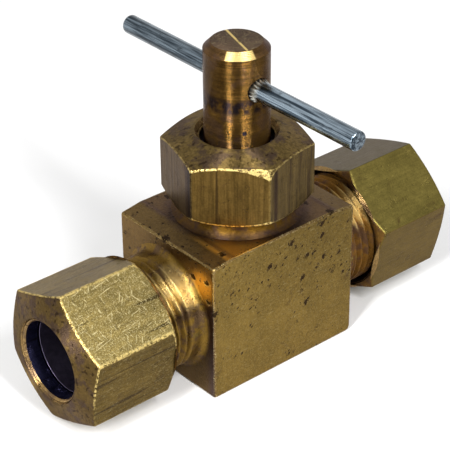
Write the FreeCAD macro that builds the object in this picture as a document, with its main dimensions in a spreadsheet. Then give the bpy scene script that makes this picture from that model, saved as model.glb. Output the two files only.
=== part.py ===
"""Straight needle valve for 3/8 inch tube, with compression ends and a cross-bar handle.

Frame: origin at the middle of the body's bottom face, under the stem's axis. +Z runs up the stem and
+X along the run towards the outlet. All sizes are in millimetres, and they live in the sheet "Sizes".
"""
import FreeCAD, Part
import math
import os
import re

import Sketcher

SIZES = {
    # Common fits
    "running_gap": 0.055,
    "seal_gap": 0.07,
    # Square bar body
    "body_len": 22.4,
    "body_wid": 17.5,
    "body_high": 18.75,
    "shoulder_run": 3.0,
    "shoulder_drop": 0.45,
    "body_edge": 0.35,
    "run_high": 9.15,
    # Threaded necks for the compression nuts, 9/16-24
    "thread_rad": 7.145,
    "neck_end": 24.0,
    "neck_flare": 0.85,
    "neck_chamfer": 0.6,
    # Tube sockets
    "tube_bore_rad": 4.82,
    "socket_stop": 14.0,
    "flow_rad": 3.5,
    "flow_end": 10.6,
    "seat_cone_start": 22.0,
    "seat_cone_slope": 0.49,
    # Compression nuts, 5/8 inch hexagon
    "hex_rad": 9.25,
    "hex_edge": 0.28,
    "nut_rear": 16.35,
    "nut_front": 28.9,
    "nut_front_face_rad": 5.7,
    "nut_front_drop": 1.1,
    "nut_rear_face_rad": 8.3,
    "nut_rear_drop": 0.6,
    "nut_mouth_rad": 7.85,
    "nut_thread_end": 24.7,
    "nut_cone_start": 25.75,
    "nut_chamber_rad": 6.0,
    "nut_hole_rad": 4.9,
    "nut_entry_rad": 5.2,
    "nut_entry_depth": 0.4,
    "inlet_nut_turn": 9.5,
    "outlet_nut_turn": 12.6,
    # Ferrules
    "ferrule_bore_rad": 4.86,
    "ferrule_rear": 22.4,
    "ferrule_tip_rad": 4.95,
    "ferrule_rad": 5.85,
    "ferrule_shoulder": 25.7,
    "ferrule_lip": 0.1,
    # Bonnet neck and packing chamber
    "bonnet_top": 25.2,
    "bonnet_flare": 0.9,
    "packing_rad": 5.5,
    "packing_floor": 18.4,
    # Packing nut, 5/8 inch hexagon
    "pack_nut_low": 20.5,
    "pack_nut_top": 29.3,
    "pack_nut_hex_rad": 9.3,
    "pack_nut_top_face_rad": 5.4,
    "pack_nut_top_drop": 1.45,
    "pack_nut_low_face_rad": 8.0,
    "pack_nut_low_drop": 0.7,
    "pack_nut_cavity_rad": 6.9,
    "pack_nut_thread_end": 25.5,
    "pack_nut_roof": 27.0,
    "pack_nut_hole_rad": 4.5,
    "pack_nut_turn": 13.5,
    # Gland follower
    "gland_flange_rad": 6.6,
    "gland_flange_low": 25.9,
    "gland_low": 23.3,
    # Packing set
    "washer_thick": 0.8,
    "ring_pitch": 1.35,
    "ring_play": 0.05,
    "ring_vee": 0.5,
    # Stem and its bore
    "stem_rad": 3.97,
    "stem_top": 40.86,
    "stem_chamfer": 0.88,
    "thread_high": 15.4,
    "bonnet_bore_rad": 4.25,
    "stem_thread_low": 9.2,
    "stem_thread_high": 15.3,
    "stem_relief_rad": 3.75,
    "stem_relief_high": 16.1,
    "stem_nose_rad": 3.2,
    "stem_nose_low": 7.65,
    "nose_socket_rad": 1.98,
    "nose_socket_high": 9.65,
    "nose_lip_rad": 1.42,
    "nose_lip_high": 8.55,
    # Needle tip and seat
    "tip_head_rad": 1.9,
    "tip_head_low": 8.62,
    "tip_head_high": 9.55,
    "tip_neck_rad": 1.35,
    "tip_collar_rad": 2.5,
    "tip_collar_high": 7.58,
    "tip_slope": 0.577,
    "tip_point_rad": 0.3,
    "seat_gap": 0.06,
    "seat_rad": 1.6,
    "seat_floor": 6.9,
    "seat_mouth_rad": 2.35,
    "orifice_low": 3.2,
    # Drilled passages
    "outlet_drill_rad": 2.0,
    "inlet_drill_rad": 1.8,
    "inlet_drill_low": 3.9,
    # Cross bar
    "bar_rad": 1.19,
    "bar_half": 20.3,
    "bar_high": 35.88,
    "bar_end_chamfer": 0.18,
    "bar_hole_rad": 1.5,
    "bar_grip_rad": 1.53,
    "bar_grip_half": 2.6,
    "bar_grip_end": 3.5,
}

doc = FreeCAD.newDocument("NeedleValve")
sheet = doc.addObject("Spreadsheet::Sheet", "Sizes")
for row, (alias, size) in enumerate(SIZES.items(), start=1):
    sheet.set(f"A{row}", alias)
    sheet.set(f"B{row}", str(size))
    sheet.setAlias(f"B{row}", alias)
doc.recompute()

X_AXIS = FreeCAD.Vector(1, 0, 0)
Z_AXIS = FreeCAD.Vector(0, 0, 1)
OUTSIDE = "12"  # any radius beyond the hexagons' corners
PACKING_MIDDLE = "(stem_rad + packing_rad) / 2"


def bound(text):
    """Turn a formula of size names into an expression on the sheet."""
    return re.sub(r"[a-z_]{3,}", lambda word: f"Sizes.{word.group()}", text)


def value(text):
    """Work out a formula of size names."""
    return float(sheet.evalExpression(bound(text)))


def new_body(label):
    """Start a sub-part."""
    body = doc.addObject("PartDesign::Body", label)
    body.Label = label
    return body


def origin_plane(body, role):
    return next(item for item in body.Origin.OriginFeatures if item.Role == role)


def new_sketch(body, name, role="XZ_Plane", height="0"):
    """Make a sketch on an origin plane of the body, its own origin raised by a height."""
    sketch = body.newObject("Sketcher::SketchObject", name)
    sketch.AttachmentSupport = (origin_plane(body, role), [""])
    sketch.MapMode = "FlatFace"
    sketch.AttachmentOffset = FreeCAD.Placement(FreeCAD.Vector(0, value(height), 0), FreeCAD.Rotation())
    if height != "0":
        sketch.setExpression("AttachmentOffset.Base.y", bound(height))
    return sketch


def outline(sketch, corners):
    """Close a straight-edged outline whose corners are bound to the sheet."""
    places = [FreeCAD.Vector(value(across), value(along), 0) for across, along in corners]
    count = len(places)
    for index, place in enumerate(places):
        sketch.addGeometry(Part.LineSegment(place, places[(index + 1) % count]), False)
    for index in range(count):
        sketch.addConstraint(Sketcher.Constraint("Coincident", index, 2, (index + 1) % count, 1))
    for index, (corner, place) in enumerate(zip(corners, places)):
        across, along = corner
        for kind, axis, text, size in (
            ("DistanceX", -2, across, place.x),
            ("DistanceY", -1, along, place.y),
        ):
            if text == "0":
                sketch.addConstraint(Sketcher.Constraint("PointOnObject", index, 1, axis))
                continue
            number = sketch.addConstraint(Sketcher.Constraint(kind, -1, 1, index, 1, size))
            sketch.setExpression(f"Constraints[{number}]", bound(text))


def turn(body, name, corners, cut=False, axis="V_Axis", height="0"):
    """Revolve an outline round an axis of its sketch, to add material or to cut it."""
    sketch = new_sketch(body, name + "_outline", height=height)
    outline(sketch, corners)
    before = body.Shape.Volume if cut else 0
    feature = body.newObject("PartDesign::Groove" if cut else "PartDesign::Revolution", name)
    feature.Profile = sketch
    feature.ReferenceAxis = (sketch, [axis])
    feature.Angle = 360
    doc.recompute()
    if cut and body.Shape.Volume > before - 0.001:
        raise RuntimeError(f"{name} cuts nothing")
    return feature


def soften(body, name, kind, size, choose):
    """Fillet or chamfer the edges of the body's last feature that choose() accepts."""
    base = body.Tip
    edges = [f"Edge{number}" for number, edge in enumerate(base.Shape.Edges, start=1) if choose(edge)]
    if not edges:
        raise RuntimeError(f"{name} finds no edges")
    feature = body.newObject(f"PartDesign::{kind}", name)
    feature.Base = (base, edges)
    feature.setExpression("Radius" if kind == "Fillet" else "Size", bound(size))
    doc.recompute()
    return feature


def drill(body, name, radius, length, placement):
    """Cut a round passage along the placement's own +Z."""
    before = body.Shape.Volume
    feature = body.newObject("PartDesign::SubtractiveCylinder", name)
    feature.setExpression("Radius", bound(radius))
    feature.setExpression("Height", bound(length))
    feature.AttachmentSupport = (origin_plane(body, "XY_Plane"), [""])
    feature.MapMode = "FlatFace"
    feature.AttachmentOffset = placement
    doc.recompute()
    if body.Shape.Volume > before - 0.001:
        raise RuntimeError(f"{name} cuts nothing")


def is_circle(edge, radius):
    """Tell whether an edge is a whole circle of this radius."""
    return isinstance(edge.Curve, Part.Circle) and abs(edge.Curve.Radius - radius) < 1e-4


def make_valve_body():
    body = new_body("valve_body")
    bar = new_sketch(body, "bar_outline")
    outline(bar, [
        ("-body_len / 2", "0"),
        ("body_len / 2", "0"),
        ("body_len / 2", "body_high - shoulder_drop"),
        ("body_len / 2 - shoulder_run", "body_high"),
        ("-body_len / 2 + shoulder_run", "body_high"),
        ("-body_len / 2", "body_high - shoulder_drop"),
    ])
    pad = body.newObject("PartDesign::Pad", "bar")
    pad.Profile = bar
    pad.Midplane = True
    pad.setExpression("Length", bound("body_wid"))
    doc.recompute()
    end = value("body_len / 2")
    soften(body, "bar_edges", "Fillet", "body_edge", lambda edge: abs(abs(edge.CenterOfMass.x) - end) < 1e-4)

    for side, sign in (("inlet", "-"), ("outlet", "")):
        turn(body, f"{side}_neck", [
            (f"{sign}(body_len / 2 - 1)", "0"),
            (f"{sign}neck_end", "0"),
            (f"{sign}neck_end", "thread_rad - neck_chamfer"),
            (f"{sign}(neck_end - neck_chamfer)", "thread_rad"),
            (f"{sign}(body_len / 2 - 1)", "thread_rad"),
        ], axis="H_Axis", height="run_high")
    turn(body, "bonnet_neck", [
        ("0", "body_high - 1"),
        ("thread_rad", "body_high - 1"),
        ("thread_rad", "bonnet_top - neck_chamfer"),
        ("thread_rad - neck_chamfer", "bonnet_top"),
        ("0", "bonnet_top"),
    ])
    radius = value("thread_rad")
    soften(body, "neck_roots", "Fillet", "neck_flare",
           lambda edge: is_circle(edge, radius) and abs(abs(edge.CenterOfMass.x) - end) < 0.01)
    soften(body, "bonnet_root", "Fillet", "bonnet_flare",
           lambda edge: is_circle(edge, radius) and abs(edge.CenterOfMass.z - value("body_high")) < 0.01)

    for side, sign in (("inlet", "-"), ("outlet", "")):
        turn(body, f"{side}_socket", [
            (f"{sign}flow_end", "0"),
            (f"{sign}flow_end", "flow_rad"),
            (f"{sign}socket_stop", "flow_rad"),
            (f"{sign}socket_stop", "tube_bore_rad"),
            (f"{sign}seat_cone_start", "tube_bore_rad"),
            (f"{sign}neck_end", "tube_bore_rad + (neck_end - seat_cone_start) * seat_cone_slope"),
            (f"{sign}neck_end", "0"),
        ], cut=True, axis="H_Axis", height="run_high")
    turn(body, "stem_bore", [
        ("0", "orifice_low"),
        ("seat_rad", "orifice_low"),
        ("seat_rad", "seat_floor - (seat_mouth_rad - seat_rad) / tip_slope"),
        ("seat_mouth_rad", "seat_floor"),
        ("stem_rad + running_gap", "seat_floor"),
        ("stem_rad + running_gap", "thread_high"),
        ("bonnet_bore_rad", "thread_high"),
        ("bonnet_bore_rad", "packing_floor"),
        ("packing_rad", "packing_floor"),
        ("packing_rad", "bonnet_top"),
        ("0", "bonnet_top"),
    ], cut=True)
    drill(body, "outlet_passage", "outlet_drill_rad", "flow_end + 0.5",
          FreeCAD.Placement(FreeCAD.Vector(0, 0, value("run_high")), FreeCAD.Rotation(Z_AXIS, X_AXIS)))
    low = FreeCAD.Vector(0, 0, value("inlet_drill_low"))
    reach = FreeCAD.Vector(-value("flow_end") - 0.8, 0, value("run_high")) - low
    drill(body, "inlet_passage", "inlet_drill_rad", f"{reach.Length}",
          FreeCAD.Placement(low, FreeCAD.Rotation(Z_AXIS, reach)))
    return body


def hexagon(body, radius, length):
    """Make a hexagonal bar from the body's origin up, with rounded corners."""
    prism = body.newObject("PartDesign::AdditivePrism", "hexagon")
    prism.Polygon = 6
    prism.setExpression("Circumradius", bound(radius))
    prism.setExpression("Height", bound(length))
    doc.recompute()
    corner = value(radius)
    soften(body, "hexagon_corners", "Fillet", "hex_edge",
           lambda edge: abs(math.hypot(edge.CenterOfMass.x, edge.CenterOfMass.y) - corner) < 1e-3)


def cut_corners(body, name, face_rad, face_at, drop, outward):
    """Turn the corners of a hexagon's end face down to a cone that meets the face at face_rad."""
    turn(body, name, [
        (face_rad, face_at),
        (face_rad, f"{face_at} {outward} 1"),
        (OUTSIDE, f"{face_at} {outward} 1"),
        (OUTSIDE, f"{face_at} - ({drop}) * ({OUTSIDE} - {face_rad}) / (hex_rad - {face_rad})"
         if outward == "+" else
         f"{face_at} + ({drop}) * ({OUTSIDE} - {face_rad}) / (hex_rad - {face_rad})"),
    ], cut=True)


def facing(axis, phase):
    """Rotation that takes local +Z to a run direction and local +X to a hexagon corner near the top."""
    swing = math.radians(phase)
    corner = FreeCAD.Vector(0, -math.sin(swing), math.cos(swing))
    return FreeCAD.Rotation(corner, axis.cross(corner), axis, "ZXY")


def make_compression_nut(side, direction):
    nut = new_body(f"{side}_compression_nut")
    hexagon(nut, "hex_rad", "nut_front - nut_rear")
    cut_corners(nut, "front_corners", "nut_front_face_rad", "nut_front - nut_rear", "nut_front_drop", "+")
    cut_corners(nut, "rear_corners", "nut_rear_face_rad", "0", "nut_rear_drop", "-")
    turn(nut, "thread_and_hole", [
        ("0", "0"),
        ("nut_mouth_rad", "0"),
        ("thread_rad + running_gap", "nut_mouth_rad - thread_rad - running_gap"),
        ("thread_rad + running_gap", "nut_thread_end - nut_rear"),
        ("nut_chamber_rad", "nut_thread_end - nut_rear"),
        ("nut_chamber_rad", "nut_cone_start - nut_rear"),
        ("nut_hole_rad", "nut_cone_start - nut_rear + nut_chamber_rad - nut_hole_rad"),
        ("nut_hole_rad", "nut_front - nut_rear - nut_entry_depth"),
        ("nut_entry_rad", "nut_front - nut_rear"),
        ("0", "nut_front - nut_rear"),
    ], cut=True)
    axis = X_AXIS * direction
    place = axis * value("nut_rear") + Z_AXIS * value("run_high")
    nut.Placement = FreeCAD.Placement(place, facing(axis, value(f"{side}_nut_turn")))
    return nut


def make_ferrule(side, direction):
    ferrule = new_body(f"{side}_ferrule")
    turn(ferrule, "sleeve", [
        ("ferrule_bore_rad", "0"),
        ("ferrule_tip_rad", "0"),
        ("ferrule_rad", "(ferrule_rad - ferrule_tip_rad) / seat_cone_slope"),
        ("ferrule_rad", "ferrule_shoulder - ferrule_rear"),
        ("ferrule_bore_rad + ferrule_lip",
         "ferrule_shoulder - ferrule_rear + ferrule_rad - ferrule_bore_rad - ferrule_lip"),
        ("ferrule_bore_rad",
         "ferrule_shoulder - ferrule_rear + ferrule_rad - ferrule_bore_rad - ferrule_lip"),
    ])
    axis = X_AXIS * direction
    place = axis * value("ferrule_rear") + Z_AXIS * value("run_high")
    ferrule.Placement = FreeCAD.Placement(place, facing(axis, 0))
    return ferrule


def make_packing_nut():
    nut = new_body("packing_nut")
    hexagon(nut, "pack_nut_hex_rad", "pack_nut_top - pack_nut_low")
    cut_corners(nut, "top_corners", "pack_nut_top_face_rad", "pack_nut_top - pack_nut_low",
                "pack_nut_top_drop", "+")
    cut_corners(nut, "low_corners", "pack_nut_low_face_rad", "0", "pack_nut_low_drop", "-")
    turn(nut, "thread_and_hole", [
        ("0", "0"),
        ("thread_rad + running_gap", "0"),
        ("thread_rad + running_gap", "pack_nut_thread_end - pack_nut_low"),
        ("pack_nut_cavity_rad", "pack_nut_thread_end - pack_nut_low"),
        ("pack_nut_cavity_rad", "pack_nut_roof - pack_nut_low"),
        ("pack_nut_hole_rad", "pack_nut_roof - pack_nut_low"),
        ("pack_nut_hole_rad", "pack_nut_top - pack_nut_low"),
        ("0", "pack_nut_top - pack_nut_low"),
    ], cut=True)
    turned = FreeCAD.Rotation(Z_AXIS, value("pack_nut_turn"))
    nut.Placement = FreeCAD.Placement(Z_AXIS * value("pack_nut_low"), turned)
    return nut


def make_gland_follower():
    gland = new_body("gland_follower")
    turn(gland, "gland", [
        ("stem_rad + seal_gap", "0"),
        (PACKING_MIDDLE, "ring_vee"),
        ("packing_rad - seal_gap", "0"),
        ("packing_rad - seal_gap", "gland_flange_low - gland_low"),
        ("gland_flange_rad", "gland_flange_low - gland_low"),
        ("gland_flange_rad", "pack_nut_roof - gland_low - seal_gap"),
        ("stem_rad + seal_gap", "pack_nut_roof - gland_low - seal_gap"),
    ])
    gland.Placement.Base = Z_AXIS * value("gland_low")
    return gland


def make_packing_washer():
    washer = new_body("packing_washer")
    turn(washer, "washer", [
        ("stem_rad + seal_gap", "0"),
        ("packing_rad - seal_gap", "0"),
        ("packing_rad - seal_gap", "washer_thick"),
        (PACKING_MIDDLE, "washer_thick + ring_vee"),
        ("stem_rad + seal_gap", "washer_thick"),
    ])
    washer.Placement.Base = Z_AXIS * value("packing_floor")
    return washer


def make_packing_ring(name, place):
    """One vee ring of the packing; its ridge points up into the ring above."""
    ring = new_body(name)
    turn(ring, "vee_ring", [
        ("stem_rad + seal_gap", "0"),
        (PACKING_MIDDLE, "ring_vee"),
        ("packing_rad - seal_gap", "0"),
        ("packing_rad - seal_gap", "ring_pitch - ring_play"),
        (PACKING_MIDDLE, "ring_pitch - ring_play + ring_vee"),
        ("stem_rad + seal_gap", "ring_pitch - ring_play"),
    ])
    low = value("packing_floor + washer_thick + ring_play")
    ring.Placement.Base = Z_AXIS * (low + place * value("ring_pitch"))
    return ring


def make_stem():
    stem = new_body("stem")
    turn(stem, "spindle", [
        ("0", "stem_nose_low"),
        ("stem_nose_rad - 0.4", "stem_nose_low"),
        ("stem_nose_rad", "stem_nose_low + 0.4"),
        ("stem_nose_rad", "stem_thread_low"),
        ("stem_rad - 0.5", "stem_thread_low"),
        ("stem_rad", "stem_thread_low + 0.5"),
        ("stem_rad", "stem_thread_high"),
        ("stem_relief_rad", "stem_thread_high"),
        ("stem_relief_rad", "stem_relief_high"),
        ("stem_rad", "stem_relief_high"),
        ("stem_rad", "stem_top - stem_chamfer"),
        ("stem_rad - stem_chamfer", "stem_top"),
        ("0", "stem_top"),
    ])
    turn(stem, "tip_socket", [
        ("0", "stem_nose_low"),
        ("nose_lip_rad", "stem_nose_low"),
        ("nose_lip_rad", "nose_lip_high"),
        ("nose_socket_rad", "nose_lip_high"),
        ("nose_socket_rad", "nose_socket_high"),
        ("0", "nose_socket_high"),
    ], cut=True)
    hole = new_sketch(stem, "bar_hole_outline", height="bar_high")
    number = hole.addGeometry(Part.Circle(FreeCAD.Vector(0, 0, 0), Z_AXIS, value("bar_hole_rad")), False)
    hole.addConstraint(Sketcher.Constraint("Coincident", number, 3, -1, 1))
    radius = hole.addConstraint(Sketcher.Constraint("Radius", number, value("bar_hole_rad")))
    hole.setExpression(f"Constraints[{radius}]", bound("bar_hole_rad"))
    before = stem.Shape.Volume
    pocket = stem.newObject("PartDesign::Pocket", "bar_hole")
    pocket.Profile = hole
    pocket.Midplane = True
    pocket.setExpression("Length", bound("stem_rad * 3"))
    doc.recompute()
    if stem.Shape.Volume > before - 0.001:
        raise RuntimeError("bar_hole cuts nothing")
    return stem


def make_needle_tip():
    tip = new_body("needle_tip")
    cone_start = "seat_floor + seat_gap"
    turn(tip, "cone_and_button", [
        ("0", f"{cone_start} - (seat_mouth_rad - tip_point_rad) / tip_slope"),
        ("tip_point_rad", f"{cone_start} - (seat_mouth_rad - tip_point_rad) / tip_slope"),
        ("seat_mouth_rad", cone_start),
        ("tip_collar_rad", cone_start),
        ("tip_collar_rad", "tip_collar_high"),
        ("tip_neck_rad", "tip_collar_high"),
        ("tip_neck_rad", "tip_head_low"),
        ("tip_head_rad", "tip_head_low"),
        ("tip_head_rad", "tip_head_high"),
        ("0", "tip_head_high"),
    ])
    return tip


def make_handle_bar():
    bar = new_body("handle_bar")
    profile = [("0", "-bar_half"), ("bar_rad - bar_end_chamfer", "-bar_half"),
               ("bar_rad", "-bar_half + bar_end_chamfer"), ("bar_rad", "-bar_grip_end"),
               ("bar_grip_rad", "-bar_grip_half"), ("bar_grip_rad", "bar_grip_half"),
               ("bar_rad", "bar_grip_end"), ("bar_rad", "bar_half - bar_end_chamfer"),
               ("bar_rad - bar_end_chamfer", "bar_half"), ("0", "bar_half")]
    turn(bar, "bar", profile)
    along_y = FreeCAD.Rotation(Z_AXIS, FreeCAD.Vector(0, 1, 0))
    bar.Placement = FreeCAD.Placement(Z_AXIS * value("bar_high"), along_y)
    return bar


parts = [make_valve_body(), make_packing_nut(), make_gland_follower(), make_packing_washer()]
for position, ring_name in enumerate(("packing_ring_lower", "packing_ring_middle", "packing_ring_upper")):
    parts.append(make_packing_ring(ring_name, position))
parts += [make_stem(), make_needle_tip(), make_handle_bar()]
for side_name, sense in (("inlet", -1), ("outlet", 1)):
    parts.append(make_compression_nut(side_name, sense))
    parts.append(make_ferrule(side_name, sense))
doc.recompute()

for item in doc.Objects:
    if "Invalid" in item.State or "Error" in item.State:
        raise RuntimeError(f"{item.Label} failed: {item.State}")
for part in parts:
    if part.Shape.isNull() or not part.Shape.isValid():
        raise RuntimeError(f"{part.Label} has no valid shape")

os.makedirs("parts", exist_ok=True)
for part in parts:
    part.Shape.exportStep(f"parts/{part.Label}.step")
    box = part.Shape.BoundBox
    print(f"{part.Label}: {part.Shape.Volume:.1f} mm3, x {box.XMin:.2f} {box.XMax:.2f}, "
          f"y {box.YMin:.2f} {box.YMax:.2f}, z {box.ZMin:.2f} {box.ZMax:.2f}")
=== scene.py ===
"""Looks of the needle valve: turned and hexagonal brass pieces, a plated steel bar, soft studio light.

Shapes and patterns are worked out in millimetres in the row frame, and written in metres.
"""

import math

import bpy
import numpy as np
from mathutils import Matrix, Vector


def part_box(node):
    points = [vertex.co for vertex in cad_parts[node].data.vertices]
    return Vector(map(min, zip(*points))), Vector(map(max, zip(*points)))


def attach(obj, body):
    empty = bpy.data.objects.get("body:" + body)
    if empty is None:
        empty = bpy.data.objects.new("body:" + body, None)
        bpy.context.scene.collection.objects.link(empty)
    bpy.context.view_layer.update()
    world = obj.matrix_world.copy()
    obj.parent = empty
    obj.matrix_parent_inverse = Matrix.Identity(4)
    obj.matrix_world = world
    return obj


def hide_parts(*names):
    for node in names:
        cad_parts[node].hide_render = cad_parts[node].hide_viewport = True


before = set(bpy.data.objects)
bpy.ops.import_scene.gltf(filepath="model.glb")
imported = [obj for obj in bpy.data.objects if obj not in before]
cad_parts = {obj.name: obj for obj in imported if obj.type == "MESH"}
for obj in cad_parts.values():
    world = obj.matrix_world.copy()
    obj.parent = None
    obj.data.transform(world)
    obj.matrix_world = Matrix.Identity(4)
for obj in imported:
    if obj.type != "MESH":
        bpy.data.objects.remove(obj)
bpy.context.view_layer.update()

MM = 0.001


def box_mm(node):
    """Lowest and highest corner of a CAD node, in millimetres."""
    low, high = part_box(node)
    return np.array(low) / MM, np.array(high) / MM


# ---------------------------------------------------------------- sizes, in millimetres
PITCH = 25.4 / 24  # of every screw thread
THREAD_RAD = 7.145
THREAD_DEPTH = 0.55
NUT_THREAD = THREAD_RAD + 0.05

BODY_LOW, BODY_HIGH = box_mm("valve_body")
NECK_END = BODY_HIGH[0]
BONNET_TOP = BODY_HIGH[2]
BAR_WIDTH = BODY_HIGH[1] - BODY_LOW[1]
BAR_HALF = 11.2
BAR_TOP = 18.75
BAR_EDGE = 0.28
SHOULDER_RUN = 3.0
SHOULDER_DROP = 0.45
RUN_HIGH = 9.15
NECK_FLARE = 0.85
BONNET_FLARE = 0.9
TUBE_BORE = 4.82
SOCKET_STOP = 14.0
FLOW_RAD = 3.5
SEAT_START = 22.0
SEAT_RAD = 5.8
PACKING_RAD = 5.5

NUT_LOW, NUT_HIGH = box_mm("outlet_compression_nut")
NUT_REAR, NUT_FRONT = NUT_LOW[0], NUT_HIGH[0]
HEX_RAD = 9.25
HEX_EDGE = 0.28
NUT_ENTRY = 5.2
NUT_HOLE = 4.9
NUT_CHAMBER = 6.0
NUT_MOUTH = 7.85

PACK_LOW, PACK_HIGH = box_mm("packing_nut")
PACK_HEX_RAD = 9.3
PACK_HOLE = 4.5
PACK_CAVITY = 6.9
PACK_TURN = 13.5  # degrees from the run to its first corner
PACK_WORN_CORNER = 240  # degrees from its first corner

SLEEVE_REAR = 22.4
SLEEVE_BORE = 4.86
SLEEVE_RAD = 5.85
SLEEVE_LENGTH = 4.19

STEM_LOW, STEM_HIGH = box_mm("stem")
STEM_RAD, STEM_TOP = STEM_HIGH[0], STEM_HIGH[2]
STEM_CHAMFER = 0.88
STEM_NOSE = 3.2
RING_PITCH = 0.14  # of the fine turning rings on the stem

PIN_LOW, PIN_HIGH = box_mm("handle_bar")
PIN_HALF = PIN_HIGH[1]
PIN_AT = (PIN_LOW[2] + PIN_HIGH[2]) / 2
PIN_RAD = 1.19
PIN_HOLE = 1.5

ROUND = 160  # segments round a turned surface


# ---------------------------------------------------------------- tints
def tone(red, green, blue):
    """A colour as it looks on a screen, 0 to 255, as the linear colour that a shader takes."""
    return tuple(part / 255 / 12.92 if part < 10.3 else ((part / 255 + 0.055) / 1.055) ** 2.4
                 for part in (red, green, blue))


BODY_FRONT = tone(108, 88, 42)
BODY_LEFT = tone(104, 82, 48)
BODY_TOP = tone(92, 72, 50)
BODY_BEVEL = tone(96, 77, 46)
BODY_EDGE = tone(110, 88, 50)
BODY_OTHER = tone(118, 96, 50)
NECK = tone(118, 92, 40)
# the far neck's brass tint, warmed by a painted reflection of the nearby brass
FAR_NECK = tone(120, 85, 36)
BONNET = tone(104, 76, 26)
# painted shade inside bores and holes
PAINTED_BORE_SHADE = tone(42, 32, 24)
NUT_BACK = tone(120, 88, 42)
NUT_RIM = tone(150, 122, 78)
# each nut's six flats have tints of their own: partly tarnish, partly painted light and reflection
INLET_FLATS = [tone(110, 96, 58), tone(112, 93, 50), tone(112, 93, 50), tone(118, 98, 54), tone(87, 71, 33),
               tone(136, 119, 69)]
INLET_SCUFFS = [0.2, 0.2, 0.2, 0.5, 0.15, 1.0]
INLET_FRONT = tone(98, 79, 44)
# painted shade, dark blue, inside the inlet nut's bore
PAINTED_INLET_BORE_SHADE = tone(62, 62, 96)
OUTLET_FLATS = [tone(105, 94, 47), tone(94, 78, 38), tone(100, 88, 46), tone(104, 90, 48), tone(104, 90, 46),
                tone(86, 80, 58)]
OUTLET_FRONT = tone(104, 86, 50)
PACK_FLATS = [tone(88, 72, 40), tone(92, 76, 44), tone(84, 70, 48), tone(87, 68, 33), tone(80, 66, 36),
              tone(90, 74, 42)]
PACK_TOP = tone(112, 93, 54)
# painted dark reflections, as bands on the packing nut's flats
PAINTED_BLACK_REFLECTION = tone(24, 17, 10)
PAINTED_DARK_REFLECTION = tone(50, 38, 24)
STEM_SIDE = tone(84, 61, 27)
STEM_END = tone(84, 68, 54)
STEM_SLOPE = tone(84, 62, 36)
STAIN = tone(62, 44, 28)
PIT = tone(38, 27, 16)
VIOLET = tone(66, 52, 54)
# painted golden reflection on the bar's top
PAINTED_GOLD_REFLECTION = tone(196, 148, 66)
# painted glowing reflection on the bar's near end face
PAINTED_GLOW = tone(252, 190, 76)
# painted highlight on the necks and on the front of the stem's top edge
PAINTED_HIGHLIGHT = tone(236, 206, 132)
INK = tone(26, 22, 28)
SCRATCH = tone(205, 190, 140)
# bright rubbed brass; also a painted highlight across the stem's top
WORN = tone(215, 190, 120)
NO_SCUFFS = [0] * 6


# ---------------------------------------------------------------- mesh helpers
def make_object(name, skin, body, nodes, edge=None):
    """Make a mesh object in the row frame, riding on a CAD body in place of its nodes."""
    vertices, faces = skin
    mesh = bpy.data.meshes.new(name)
    mesh.from_pydata([tuple(point) for point in np.asarray(vertices) * MM], [], faces)
    if edge is not None:
        layer = mesh.attributes.new("edge", "FLOAT", "POINT")
        layer.data.foreach_set("value", np.asarray(edge, dtype=np.float32))
    mesh.validate()
    for polygon in mesh.polygons:
        polygon.use_smooth = True
    item = bpy.data.objects.new(name, mesh)
    bpy.context.scene.collection.objects.link(item)
    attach(item, body)
    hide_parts(*nodes)
    return item


def dress(item, material, choose=None, angle=35):
    """Give a piece its material, its painted zones, and normals that keep flats flat and rounds smooth."""
    if choose:
        paint(item, choose)
    item.data.set_sharp_from_angle(angle=math.radians(angle))
    modifier = item.modifiers.new("flats", "WEIGHTED_NORMAL")
    modifier.keep_sharp = True
    modifier.weight = 80
    item.data.materials.append(material)


def paint(item, choose):
    """Give every face a tint, polish, scuff and turned mark; choose() gets face centres in mm and normals."""
    mesh = item.data
    count = len(mesh.polygons)
    centres, normals = np.empty(count * 3), np.empty(count * 3)
    mesh.polygons.foreach_get("center", centres)
    mesh.polygons.foreach_get("normal", normals)
    tint, *marks = choose(centres.reshape(-1, 3) / MM, normals.reshape(-1, 3))
    layer = mesh.attributes.new("tint", "FLOAT_COLOR", "FACE")
    layer.data.foreach_set("color", np.column_stack([tint, np.ones(count)]).astype(np.float32).ravel())
    for name, values in zip(("polish", "scuff", "turned"), marks):
        layer = mesh.attributes.new(name, "FLOAT", "FACE")
        layer.data.foreach_set("value", values.astype(np.float32))


def even(count, tint, *marks):
    """The same tint, polish, scuff and turned mark on every face."""
    return np.tile(np.array(tint, dtype=float), (count, 1)), *[np.full(count, float(mark)) for mark in marks]


def zones(base, *changes):
    """Start from the arrays in base, then overwrite what each (where, tint, polish, scuff, turned) picks."""
    tint, *marks = base
    for where, color, *values in changes:
        tint[where] = color
        for mark, value in zip(marks, values):
            mark[where] = value
    return tint, *marks


def loop_faces(rows, columns):
    """Quads of a closed skin: rows of points round a ring profile, columns round the axis."""
    faces = []
    for row in range(rows):
        below = (row + 1) % rows
        for column in range(columns):
            beside = (column + 1) % columns
            faces.append((row * columns + column, row * columns + beside,
                          below * columns + beside, below * columns + column))
    return faces


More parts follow.
